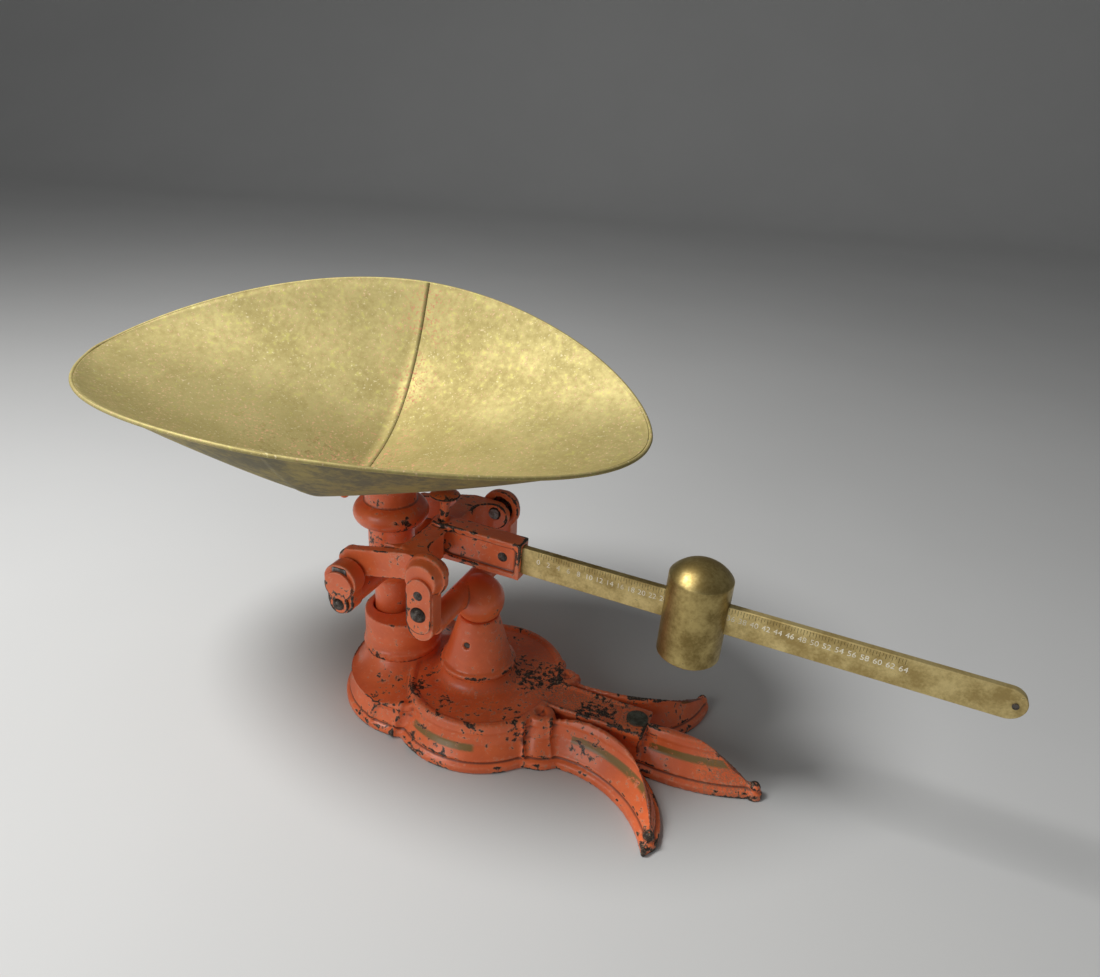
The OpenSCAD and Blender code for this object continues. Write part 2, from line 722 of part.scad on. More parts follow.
base();
tail_disc();
stand_pin();
fulcrum_stand();
fulcrum_bearing(-1);  // fulcrum_bearing_front
fulcrum_bearing(1);  // fulcrum_bearing_back
fulcrum_cover(-1);  // fulcrum_cover_front
fulcrum_cover(1);  // fulcrum_cover_back
fulcrum_rivets(-1);  // fulcrum_rivets_front
fulcrum_rivets(1);  // fulcrum_rivets_back
lever();
fulcrum_knife(-1);  // fulcrum_knife_front
fulcrum_knife(1);  // fulcrum_knife_back
load_knife(-1);  // load_knife_front
load_knife(1);  // load_knife_back
bar();
bar_rivet();
stop_pin();
balance_knob();
poise();
column();
load_bearing(-1);  // load_bearing_front
load_bearing(1);  // load_bearing_back
load_cover(-1);  // load_cover_front
load_cover(1);  // load_cover_back
load_rivet(-1);  // load_rivet_front
load_rivet(1);  // load_rivet_back
cradle();
column_pin();
check_link();
link_pin();
scoop_half(-1);  // scoop_left
scoop_half(1);  // scoop_right
scoop_rim();
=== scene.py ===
import json
import math
import bmesh
import bpy
import numpy as np
from mathutils import Matrix, Vector, noise


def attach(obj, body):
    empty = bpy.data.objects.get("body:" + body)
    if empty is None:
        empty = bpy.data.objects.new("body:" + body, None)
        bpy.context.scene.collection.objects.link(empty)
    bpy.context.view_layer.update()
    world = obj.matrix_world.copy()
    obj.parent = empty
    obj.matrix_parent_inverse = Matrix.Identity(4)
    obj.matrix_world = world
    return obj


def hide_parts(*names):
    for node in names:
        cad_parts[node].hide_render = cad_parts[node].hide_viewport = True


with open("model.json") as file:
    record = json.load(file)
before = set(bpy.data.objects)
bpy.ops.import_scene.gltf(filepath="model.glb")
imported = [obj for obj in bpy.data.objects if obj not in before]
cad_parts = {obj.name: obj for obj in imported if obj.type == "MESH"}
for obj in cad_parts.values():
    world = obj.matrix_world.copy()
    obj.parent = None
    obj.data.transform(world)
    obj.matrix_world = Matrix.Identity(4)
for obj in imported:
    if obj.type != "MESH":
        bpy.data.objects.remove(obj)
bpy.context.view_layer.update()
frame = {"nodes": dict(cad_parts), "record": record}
scene = bpy.context.scene
mm = 0.001
print("frame loaded,", len(frame["nodes"]), "nodes")


# camera, floor and light

cameraValues = {"spot": (0.24701, -0.37639, 0.35482), "yaw": -21.18, "pitch": 25.54,
                "roll": 4.0, "lens": 27.03, "sensor": 36.0}


def addCamera(values):
    yaw, pitch, roll = (math.radians(values[key]) for key in ("yaw", "pitch", "roll"))
    forward = Vector((math.sin(yaw) * math.cos(pitch), math.cos(yaw) * math.cos(pitch), -math.sin(pitch)))
    level = Vector((math.cos(yaw), -math.sin(yaw), 0))
    right = level * math.cos(roll) + level.cross(forward) * math.sin(roll)
    turn = Matrix((right, right.cross(forward), -forward)).transposed().to_4x4()
    data = bpy.data.cameras.new("camera")
    data.lens = values["lens"]
    data.sensor_width = values["sensor"]
    data.clip_start = 0.01
    camera = bpy.data.objects.new("camera", data)
    camera.matrix_world = Matrix.Translation(values["spot"]) @ turn
    scene.collection.objects.link(camera)
    scene.camera = camera


studioValues = {
    "key": {"spot": (-0.50, -0.30, 1.12), "aim": (0.05, -0.1, 0.05), "size": 0.45, "power": 15.0},
    "front": {"spot": (-0.55, -1.5, 0.75), "aim": (0.05, 0.0, 0.1), "size": 1.0, "power": 7.0},
    "world": (0.36, 0.365, 0.37),
    "worldPower": 0.37,
    "floor": (0.60, 0.60, 0.59), "floorReach": 4.0, "wallAt": 2.3, "wallBend": 0.9, "wallTop": 3.0,
}


def addLamp(name, values):
    data = bpy.data.lights.new(name, "AREA")
    data.shape = "DISK"
    data.size = values["size"]
    data.energy = values["power"]
    lamp = bpy.data.objects.new(name, data)
    away = Vector(values["spot"]) - Vector(values["aim"])
    turn = away.to_track_quat("Z", "Y").to_matrix().to_4x4()
    lamp.matrix_world = Matrix.Translation(values["spot"]) @ turn
    scene.collection.objects.link(lamp)


def makeSweep(name, values):
    # floor that curves up into a wall far behind
    reach, wall, bend, top = (values[key] for key in ("floorReach", "wallAt", "wallBend", "wallTop"))
    profile = [(-reach, 0), (wall, 0)]
    profile += [(wall + bend * math.sin(a), bend - bend * math.cos(a))
                for a in np.linspace(0, math.pi / 2, 17)[1:]]
    profile.append((wall + bend, top))
    points = [(x, y, z) for y, z in profile for x in (-reach, reach)]
    faces = [(2 * i, 2 * i + 1, 2 * i + 3, 2 * i + 2) for i in range(len(profile) - 1)]
    mesh = bpy.data.meshes.new(name)
    mesh.from_pydata(points, [], faces)
    smoothFaces(mesh)
    mesh.materials.append(makeFloor("paleFloor", values["floor"]))
    sweep = bpy.data.objects.new(name, mesh)
    sweep.rotation_euler[2] = -math.radians(cameraValues["yaw"])
    scene.collection.objects.link(sweep)
    return sweep


# shader helper

class Wire:
    def __init__(self, socket):
        self.socket = socket
        self.tree = socket.id_data

    def node(self, kind, settings=None, values=None, out=0):
        made = self.tree.nodes.new(kind)
        for key, value in (settings or {}).items():
            setattr(made, key, value)
        for key, value in (values or {}).items():
            if isinstance(value, Wire):
                self.tree.links.new(value.socket, made.inputs[key])
            else:
                made.inputs[key].default_value = value
        return Wire(made.outputs[out])

    def maths(self, operation, first, second):
        return self.node("ShaderNodeMath", {"operation": operation}, {0: first, 1: second})

    def __add__(self, other):
        return self.maths("ADD", self, other)

    def __sub__(self, other):
        return self.maths("SUBTRACT", self, other)

    def __mul__(self, other):
        return self.maths("MULTIPLY", self, other)

    def __rsub__(self, other):
        return self.maths("SUBTRACT", other, self)

    __radd__ = __add__
    __rmul__ = __mul__

    def step(self, low, high):
        return self.node("ShaderNodeMapRange", {"interpolation_type": "SMOOTHSTEP"},
                         {"Value": self, "From Min": low, "From Max": high})

    def noise(self, scale, detail, rough):
        return self.node("ShaderNodeTexNoise", None,
                         {"Vector": self, "Scale": scale, "Detail": detail, "Roughness": rough})

    def blend(self, first, second):
        return self.node("ShaderNodeMix", {"data_type": "RGBA"}, {0: self, 6: first, 7: second}, out=2)

    def stretch(self, amounts):
        return self.node("ShaderNodeMapping", None, {"Vector": self, "Scale": amounts})

    def attribute(self, name):
        return self.node("ShaderNodeAttribute", {"attribute_name": name}, None, out=2)


def startMaterial(name):
    material = bpy.data.materials.new(name)
    material.use_nodes = True
    shader = material.node_tree.nodes["Principled BSDF"]
    coords = material.node_tree.nodes.new("ShaderNodeTexCoord")
    return material, shader, Wire(coords.outputs["Object"])


def feed(shader, name, value):
    if isinstance(value, Wire):
        shader.id_data.links.new(value.socket, shader.inputs[name])
    else:
        shader.inputs[name].default_value = value


def bumpFrom(height, distance, strength):
    return height.node("ShaderNodeBump", None,
                       {"Strength": strength, "Distance": distance, "Height": height})


# finishes

paintValues = {
    "red": (0.92, 0.185, 0.050, 1), "deepRed": (0.58, 0.078, 0.022, 1), "pinkRed": (0.82, 0.38, 0.23, 1),
    "iron": (0.040, 0.024, 0.016, 1), "dust": (0.24, 0.165, 0.105, 1), "gold": (0.20, 0.145, 0.035, 1),
    "chipScale": 300, "patchScale": 48, "chipLevel": 0.678, "knobChipLevel": 0.638,
    "chipDepth": 0.00022,
}


def makeRedPaint(name, values, chipLevel):
    material, shader, spot = startMaterial(name)
    wearAndSheen = spot.attribute("wearAndSheen")
    hollow = spot.attribute("hollow")
    bare = spot.attribute("bare")
    gold = spot.attribute("gold")
    patches = spot.noise(values["patchScale"], 4, 0.6)
    chips = spot.noise(values["chipScale"], 5, 0.65)
    specks = spot.noise(values["chipScale"] * 3.1, 3, 0.6)
    edge = wearAndSheen * (0.04 + 0.26 * patches.step(0.44, 0.64))
    clusters = spot.noise(22, 3, 0.5).step(0.48, 0.66)
    score = chips * 0.62 + patches * 0.42 + specks * 0.08 + edge + bare * 0.06 + clusters * 0.055
    chip = score.step(chipLevel, chipLevel + 0.022)
    fleck = specks.step(0.715, 0.745)
    chip = chip + fleck * (1 - chip)
    tone = patches.step(0.35, 0.65)
    colour = (tone * 0.4 + 0.6).blend(values["deepRed"], values["red"])
    colour = (chips.step(0.5, 0.62) * score.step(chipLevel - 0.09, chipLevel) * 0.55).blend(
        colour, values["pinkRed"])
    goldWorn = gold * (chips * 0.5 + patches * 0.5).step(0.60, 0.52)
    colour = (goldWorn * 0.92).blend(colour, values["gold"])
    rim = score.step(chipLevel - 0.02, chipLevel) * (1 - chip)
    colour = (rim * 0.5).blend(colour, values["dust"])
    # painted shade: concave corners and creases are darkened towards near-black
    colour = ((hollow * 1.4).step(0.1, 1.0) * 0.75).blend(colour, values["iron"])
    colour = (bare * 0.7 * specks.step(0.46, 0.60)).blend(colour, values["dust"])
    # convex edges lightened towards pink: partly worn paint, partly a painted highlight
    colour = (wearAndSheen * chips.step(0.40, 0.55) * 0.45).blend(colour, values["pinkRed"])
    bareMetal = specks.step(0.52, 0.66).blend(values["iron"], values["dust"])
    colour = chip.blend(colour, bareMetal)
    feed(shader, "Base Color", colour)
    feed(shader, "Roughness", 0.33 + chip * 0.22 + patches * 0.14 + bare * 0.2)
    feed(shader, "Metallic", chip * 0.25)
    height = (1 - chip) + chips * 0.18 + patches * 0.9
    feed(shader, "Normal", bumpFrom(height, values["chipDepth"], 0.8))
    shader.inputs["Coat Weight"].default_value = 0.25
    shader.inputs["Coat Roughness"].default_value = 0.18
    return material


brassValues = {
    "scoop": {"light": (0.50, 0.43, 0.185, 1), "dark": (0.375, 0.305, 0.115, 1), "rough": 0.60, "scale": 38},
    "bar": {"light": (0.86, 0.70, 0.33, 1), "dark": (0.46, 0.34, 0.13, 1), "rough": 0.46, "scale": 70,
            "metallic": 0.9},
    "poise": {"light": (0.58, 0.45, 0.18, 1), "dark": (0.24, 0.17, 0.055, 1), "rough": 0.30, "scale": 60,
              "metallic": 0.9},
}


def makeBrass(name, values):
    material, shader, spot = startMaterial(name)
    wearAndSheen = spot.attribute("wearAndSheen")
    patches = spot.noise(values["scale"], 6, 0.62)
    spots = spot.noise(values["scale"] * 9, 4, 0.6)
    scratches = spot.stretch((40, 900, 900)).noise(1.0, 2, 0.5)
    tone = (patches * 0.75 + spots * 0.25).step(0.36, 0.64)
    colour = (1 - tone * 0.8 - wearAndSheen * 0.3).blend(values["light"], values["dark"])
    dark = spots.step(0.66, 0.74)
    colour = (dark * 0.6).blend(colour, (0.06, 0.045, 0.02, 1))
    feed(shader, "Base Color", colour)
    feed(shader, "Roughness", values["rough"] + (1 - tone) * 0.14 + dark * 0.15 + scratches * 0.08)
    feed(shader, "Metallic", values["metallic"] - dark * 0.4)
    feed(shader, "Normal", bumpFrom(patches * 0.6 + spots * 0.35 + scratches * 0.25, 0.00012, 0.5))
    return material


# stain colours for the scoop, and a dark grey used as painted shade on the outer skin
scoopStains = {
    "pale": (0.86, 0.78, 0.52, 1), "copper": (0.62, 0.30, 0.17, 1), "lime": (0.50, 0.47, 0.13, 1),
    "brown": (0.26, 0.17, 0.07, 1), "outsideShade": (0.19, 0.17, 0.11, 1),
}


def makeScoopBrass(name, values, stains):
    material, shader, spot = startMaterial(name)
    side = spot.attribute("inside")
    seam = spot.attribute("seam")
    low = spot.attribute("low")
    cloud = spot.noise(9, 5, 0.6)
    patches = spot.noise(values["scale"], 6, 0.62)
    spots = spot.noise(240, 5, 0.65)
    freckles = spot.noise(620, 4, 0.6)
    hammer = spot.noise(22, 2, 0.5)
    tone = (cloud * 0.35 + patches * 0.3 + spots * 0.35).step(0.36, 0.64)
    colour = tone.blend(values["dark"], values["light"])
    colour = (spots.step(0.56, 0.66) * 0.55).blend(colour, stains["lime"])
    colour = (freckles.step(0.60, 0.68) * 0.5).blend(colour, stains["pale"])
    copper = freckles.step(0.54, 0.62) * patches.step(0.42, 0.54) * (0.30 + seam * 0.9 + low * 0.6)
    colour = (copper * 0.9).blend(colour, stains["copper"])
    colour = (low * spots.step(0.52, 0.62) * 0.7).blend(colour, stains["brown"])
    # painted shade: the outer skin gets a darker, greyer copy of the brass tone
    outer = (patches * 0.6 + spots * 0.4).step(0.4, 0.62).blend(stains["outsideShade"], values["dark"])
    colour = side.blend(outer, colour)
    feed(shader, "Base Color", colour)
    feed(shader, "Roughness", values["rough"] + (1 - tone) * 0.12 + copper * 0.2 + (1 - side) * 0.05)
    feed(shader, "Metallic", 0.62 - copper * 0.3)
    feed(shader, "Normal", bumpFrom(hammer * 1.6 + patches * 0.45 + spots * 0.12, 0.0006, 0.55))
    return material


steelValues = {
    "rivet": {"light": (0.14, 0.125, 0.11, 1), "dark": (0.035, 0.022, 0.016, 1), "rough": 0.38, "scale": 300},
    "disc": {"light": (0.20, 0.205, 0.165, 1), "dark": (0.08, 0.08, 0.055, 1), "rough": 0.45, "scale": 210},
    "knife": {"light": (0.30, 0.30, 0.30, 1), "dark": (0.10, 0.085, 0.07, 1), "rough": 0.35, "scale": 260},
    "iron": {"light": (0.075, 0.062, 0.052, 1), "dark": (0.02, 0.016, 0.013, 1), "rough": 0.55, "scale": 240},
    "marks": {"light": (0.17, 0.125, 0.05, 1), "dark": (0.07, 0.05, 0.02, 1), "rough": 0.6, "scale": 500},
    "numbers": {"light": (0.98, 0.95, 0.84, 1), "dark": (0.80, 0.74, 0.58, 1), "rough": 0.7, "scale": 110},
}


def makeSteel(name, values):
    material, shader, spot = startMaterial(name)
    patches = spot.noise(values["scale"], 5, 0.6)
    grain = spot.noise(values["scale"] * 5, 3, 0.6)
    tone = (patches * 0.7 + grain * 0.3).step(0.38, 0.62)
    feed(shader, "Base Color", tone.blend(values["dark"], values["light"]))
    feed(shader, "Roughness", values["rough"] + (1 - tone) * 0.2)
    feed(shader, "Metallic", 0.55 + tone * 0.35)
    feed(shader, "Normal", bumpFrom(patches + grain * 0.4, 0.00012, 0.5))
    return material


def makeFloor(name, colour):
    material, shader, spot = startMaterial(name)
    grain = spot.noise(3.0, 4, 0.5)
    dim = tuple(part * 0.97 for part in colour) + (1,)
    feed(shader, "Base Color", grain.step(0.3, 0.7).blend(dim, tuple(colour) + (1,)))
    feed(shader, "Roughness", 0.62 + grain * 0.1)
    return material


# castings

def newObject(name, mesh):
    piece = bpy.data.objects.new(name, mesh)
    scene.collection.objects.link(piece)
    return piece


def smoothFaces(mesh):
    mesh.polygons.foreach_set("use_smooth", np.ones(len(mesh.polygons), dtype=bool))


def bakeModifiers(piece):
    view = bpy.context.evaluated_depsgraph_get()
    baked = bpy.data.meshes.new_from_object(piece.evaluated_get(view))
    piece.modifiers.clear()
    piece.data = baked
    return piece


def readPoints(mesh):
    points = np.empty(len(mesh.vertices) * 3)
    mesh.vertices.foreach_get("co", points)
    return points.reshape(-1, 3)


def writePoints(mesh, points):
    mesh.vertices.foreach_set("co", points.ravel())
    mesh.update()


def readEdges(mesh):
    edges = np.empty(len(mesh.edges) * 2, dtype=np.int64)
    mesh.edges.foreach_get("vertices", edges)
    return edges.reshape(-1, 2)


def readNormals(mesh):
    normals = np.empty(len(mesh.vertices) * 3)
    mesh.vertex_normals.foreach_get("vector", normals)
    return normals.reshape(-1, 3)


def spread(values, edges, count):
    # mean of the neighbours
    ends = np.concatenate([edges[:, 0], edges[:, 1]])
    others = np.concatenate([edges[:, 1], edges[:, 0]])
    number = np.maximum(np.bincount(ends, minlength=count), 1)
    if values.ndim == 1:
        return np.bincount(ends, values[others], minlength=count) / number
    return np.stack([np.bincount(ends, values[others, axis], minlength=count) / number
                     for axis in range(3)], axis=1)


def soften(points, edges, rounds):
    for _ in range(rounds):
        points = points + 0.5 * (spread(points, edges, len(points)) - points)
    return points


def ease(value, low, high):
    part = np.clip((value - low) / (high - low), 0, 1)
    return part * part * (3 - 2 * part)


def setAttribute(mesh, name, values):
    layer = mesh.attributes.new(name, "FLOAT", "POINT")
    layer.data.foreach_set("value", values.astype(np.float32))


castValues = {
    "wearLength": 0.0022, "wearFrom": 0.15, "hollowFrom": 0.12,
    "unevenScale": 70, "unevenDepth": 0.00012,
}


def markWear(mesh):
    # edges that stick out wear first and also get a painted highlight; inner corners get painted shade
    points, edges, normals = readPoints(mesh), readEdges(mesh), readNormals(mesh)
    along = points[edges[:, 1]] - points[edges[:, 0]]
    square = np.maximum((along ** 2).sum(1), 1e-12)
    count = len(points)
    bend = np.bincount(edges[:, 0], -(normals[edges[:, 0]] * along).sum(1) / square, minlength=count)
    bend += np.bincount(edges[:, 1], (normals[edges[:, 1]] * along).sum(1) / square, minlength=count)
    bend /= np.maximum(np.bincount(edges.ravel(), minlength=count), 1)
    for _ in range(3):
        bend = 0.5 * bend + 0.5 * spread(bend, edges, count)
    bend = bend * castValues["wearLength"] * 2
    # convex edges: mask for paint wear and for a painted edge highlight
    setAttribute(mesh, "wearAndSheen", np.clip(bend - castValues["wearFrom"], 0, 1))
    # concave spots: mask for the painted shade in the red paint
    setAttribute(mesh, "hollow", np.clip(-bend - castValues["hollowFrom"], 0, 1))


def unevenness(points, scale, depth):
    return depth * np.array([noise.noise(Vector(point) * scale) for point in points])


def castFrom(node, name, voxel, rounds, shape=None):
    mesh = frame["nodes"][node].data.copy()
    mesh.materials.clear()
    work = bmesh.new()
    work.from_mesh(mesh)
    bmesh.ops.remove_doubles(work, verts=work.verts, dist=1e-6)
    work.to_mesh(mesh)
    work.free()
    piece = newObject(name, mesh)
    remesh = piece.modifiers.new("remesh", "REMESH")
    remesh.mode = "VOXEL"
    remesh.voxel_size = voxel
    bakeModifiers(piece)
    mesh = piece.data
    edges = readEdges(mesh)
    points = soften(readPoints(mesh), edges, rounds)
    writePoints(mesh, points)
    if shape:
        points = soften(shape(points, readNormals(mesh)), edges, 1)
        writePoints(mesh, points)
    depths = unevenness(points, castValues["unevenScale"], castValues["unevenDepth"])
    writePoints(mesh, points + readNormals(mesh) * depths[:, None])
    markWear(mesh)
    smoothFaces(mesh)
    print(name, "made,", len(mesh.polygons), "faces")
    return piece


def finishPiece(piece, material, body, nodes):
    piece.data.materials.clear()
    piece.data.materials.append(material)
    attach(piece, body)
    if nodes:
        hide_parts(*nodes)


baseValues = {
    "deckDepth": 1.7, "rimWidth": 3.2,
    "rimCircles": ((68, 6, 45), (68, -6, 45), (113, 19, 6.5), (113, -19, 6.5)),
    "leftLobe": (25, 0, 47.5), "leftPedestal": (7, 23.5), "leftFlare": (19.5, 31.0),
    "ribs": (((30.5, 50.6, 3), (34.5, 45.0, 25)), ((13.5, 48.0, 4), (16.5, 46.0, 19))),
    "ribHeight": 2.2, "ribWidth": 2.0, "deckTop": 28.0, "tailDeck": (98, 158, 9.5), "leftBeadLow": 17.5,
    "wallProfile": ((0, 0.5), (4.4, 0.5), (5.0, -0.9), (6.4, -0.9), (7.2, 0.2), (8.6, -0.4), (15, -2.1),
                    (21.5, -0.6), (23.2, 0.5), (27.0, 0.7), (28.5, 0.2)),
    "stripe": (11.8, 15.6), "prongStripe": (14.0, 18.2),
    "leftStripe": (25, 0, 186, 216), "mainStripe": (68, -6, 238, 292),
}


def shapeBase(points, normals):
    values = baseValues
    x, y, z = (points[:, axis] / mm for axis in range(3))
    inside = np.max([radius - np.hypot(x - cx, y - cy)
                     for cx, cy, radius in values["rimCircles"]], axis=0)
    tailLow, tailHigh, tailHalf = values["tailDeck"]
    onTail = ease(x, tailLow - 4, tailLow) * (1 - ease(x, tailHigh - 4, tailHigh))
    beside = (tailHalf + values["rimWidth"] - np.abs(y)) * onTail
    inside = np.where(onTail > 0, np.maximum(inside, beside), inside)
    onDeck = (z > values["deckTop"] - 2.2) & (z < values["deckTop"] + 6)
    nearTop = 1 - ease(z, values["deckTop"] + 0.5, values["deckTop"] + 5)
    drop = values["deckDepth"] * ease(inside, values["rimWidth"] - 0.9, values["rimWidth"] + 0.9) * nearTop
    points = points.copy()
    points[:, 2] -= np.where(onDeck, drop, 0) * mm
    # the left lobe flares down from its pedestal to the top of its wall
    cx, cy, lobe = values["leftLobe"]
    px, pedestal = values["leftPedestal"]
    edge = np.maximum(lobe - np.hypot(x - cx, y - cy), 0)
    away = np.hypot(x - px, y) - pedestal
    part = np.clip(edge / np.maximum(edge + np.maximum(away, 0), 0.01), 0, 1)
    low, high = values["leftFlare"]
    flare = low + (high - low) * part ** 2.4
    onLobe = (1 - ease(x, 18, 40)) * (away > -1.5) * (z > low - 1.5) * (z < high + 3)
    upward = ease(normals[:, 2], 0.05, 0.35)
    lifted = np.where(flare > z, np.minimum(flare - z, 6) * upward, flare - z)
    points[:, 2] += onLobe * np.maximum(lifted, -8) * mm
    # rounded ribs that run up the wall where the lobes meet
    for sign in (-1, 1):
        for foot, head in values["ribs"]:
            low, high = np.array(foot), np.array(head)
            offset = np.stack([x, y * sign, z], axis=1) - low
            along = np.clip(offset @ (high - low) / ((high - low) @ (high - low)), 0, 1)
            gap = np.linalg.norm(offset - along[:, None] * (high - low), axis=1)
            swell = values["ribHeight"] * np.exp(-(gap / values["ribWidth"]) ** 2)
            points += normals * (np.where(normals[:, 2] > -0.3, swell, 0) * mm)[:, None]
    # a lip at the foot, a groove over it, a hollow wall and a bead under the deck
    flat = normals[:, :2].copy()
    sideways = np.hypot(flat[:, 0], flat[:, 1])
    heights, offsets = zip(*values["wallProfile"])
    push = np.interp(z, heights, offsets) * ease(sideways, 0.35, 0.6) * (z < values["deckTop"] + 1) * mm
    push *= np.where(onLobe > 0, (z < values["leftBeadLow"]), 1)
    points[:, :2] += flat / np.maximum(sideways, 1e-6)[:, None] * push[:, None]
    return points


def inArc(x, y, arc):
    cx, cy, start, stop = arc
    angle = np.degrees(np.arctan2(np.minimum(y, -y) - cy, x - cx)) % 360
    return ease(angle, start, start + 3) * (1 - ease(angle, stop - 3, stop))


def markBase(mesh):
    values = baseValues
    points, normals = readPoints(mesh), readNormals(mesh)
    x, y, z = (points[:, axis] / mm for axis in range(3))
    low, high = values["stripe"]
    band = ease(z, low - 0.3, low + 0.3) * (1 - ease(z, high - 0.3, high + 0.3))
    gold = band * np.maximum(inArc(x, y, values["leftStripe"]) * (x < 5),
                             inArc(x, y, values["mainStripe"]) * (np.abs(y) > 35) * (x > 30))
    low, high = values["prongStripe"]
    band = ease(z, low - 0.3, low + 0.3) * (1 - ease(z, high - 0.3, high + 0.3))
    outward = normals[:, 1] * np.sign(y) > 0.2
    outer = (x > 134) & (np.abs(y) > 20) & (x < 190) & outward & (np.abs(y) < 55)
    middle = (x > 176) & (x < 232) & (np.abs(y) < 16) & outward
    gold = np.maximum(gold, band * (outer | middle))
    setAttribute(mesh, "gold", gold * (normals[:, 2] > -0.3))
    bare = ease(x, 95, 112) * (1 - ease(x, 150, 170)) * (1 - ease(np.abs(y), 8, 16)) * ease(z, 22, 25)
    near = np.exp(-((x - 88) ** 2 + (y - 10) ** 2) / 300.0) * ease(z, 22, 26)
    tips = ease(np.hypot(x - 68, y), 128, 150) * 0.8
    tops = ease(z, 24, 28) * (1 - ease(z, 28.5, 30)) * (x > 20) * 0.35
    setAttribute(mesh, "bare", np.clip(bare * 0.75 + near * 0.5 + tips + tops, 0, 1))


# scoop

scoopValues = {
    "halfLength": 163.2, "halfWidth": 105.0, "depth": 73.0, "endDrop": 24.7, "sheet": 0.9,
    "planPower": 1.83, "skinPower": 2.5, "spot": (-12.656, -11.5, 221.88),
    "lean": 9.6, "nose": 2.1, "turn": 11.4,
    "innerLap": 5.5, "outerLap": 2.5, "rows": 96, "columns": 120, "flare": 0.35,
    "rimOut": 1.45, "wire": 1.15, "rimSteps": 360, "wireSteps": 14, "dent": 0.25,
}


def placeScoop(points):
    values = scoopValues
    lean, nose, turn = (math.radians(values[key]) for key in ("lean", "nose", "turn"))
    matrix = (Matrix.Rotation(turn, 3, "Z") @ Matrix.Rotation(nose, 3, "Y") @ Matrix.Rotation(lean, 3, "X"))
    return (points @ np.array(matrix).T + np.array(values["spot"])) * mm


def scoopSkin(x, v):
    values = scoopValues
    run = np.clip(np.abs(x) / values["halfLength"], 0, 1)
    half = values["halfWidth"] * np.power(1 - np.power(run, values["planPower"]), 1 / values["planPower"])
    edge = -values["endDrop"] * run * run
    keel = -values["depth"] + (values["depth"] - values["endDrop"]) * run
    height = keel + (edge - keel) * np.power(np.abs(v), values["skinPower"])
    flare = values["flare"] * ease(np.abs(v), 0.965, 1.0) * np.sign(v)
    return np.stack([x, v * half + flare, height], axis=-1)


def makeSheet(name, side):
    values = scoopValues
    rows, columns = values["rows"], values["columns"]
    lap = values["innerLap"] if side < 0 else values["outerLap"]
    reach = np.sin(np.linspace(0, 1, rows + 1) * math.pi / 2) * (values["halfLength"] * 0.9995 + lap) - lap
    v = np.sin(np.linspace(-1, 1, columns + 1) * math.pi / 2)
    grid = np.zeros((rows + 1, columns + 1, 3))
    for row, x in enumerate(reach):
        grid[row] = scoopSkin(np.full(columns + 1, side * x), v)
        # the left sheet lies on the right one where they lap
        if side < 0:
            grid[row, :, 2] += values["sheet"] * 0.6 * (1 - ease(np.array(x), -1.0, 20.0))
    inner = placeScoop(grid.reshape(-1, 3))
    faces = []
    for row in range(rows):
        for column in range(columns):
            a = row * (columns + 1) + column
            quad = (a, a + 1, a + columns + 2, a + columns + 1)
            faces.append(quad if side < 0 else quad[::-1])
    mesh = bpy.data.meshes.new(name)
    mesh.from_pydata([tuple(point) for point in inner], [], faces)
    mesh.update()
    normals = readNormals(mesh)
    up = normals[:, 2].mean()
    if up < 0:
        mesh.flip_normals()
        mesh.update()
        normals = readNormals(mesh)
    points = readPoints(mesh)
    dent = values["dent"] * mm
    dents = unevenness(points, 16, dent) + unevenness(points, 45, dent * 0.3)
    still = ease(np.tile(np.abs(v), rows + 1), 0.85, 0.99)
    points = points + normals * (dents * (1 - still))[:, None]
    writePoints(mesh, points)
    x = np.repeat(side * reach, columns + 1)
    setAttribute(mesh, "seam", np.exp(-(x - 6) ** 2 / 180.0))
    besideKeel = np.abs(np.tile(v, rows + 1) + 0.35)
    setAttribute(mesh, "low", np.exp(-x ** 2 / 5200.0) * (1 - ease(besideKeel, 0.2, 0.75)))
    setAttribute(mesh, "inside", np.ones(len(points)))
    count = len(points)
    piece = newObject(name, mesh)
    solid = piece.modifiers.new("wall", "SOLIDIFY")
    solid.thickness = values["sheet"] * mm
    solid.offset = -1
    solid.use_even_offset = False
    bakeModifiers(piece)
    mesh = piece.data
    flags = np.zeros(len(mesh.vertices))
    flags[:count] = 1
    mesh.attributes["inside"].data.foreach_set("value", flags.astype(np.float32))
    smoothFaces(mesh)
    print(name, "made,", len(mesh.polygons), "faces")
    return piece


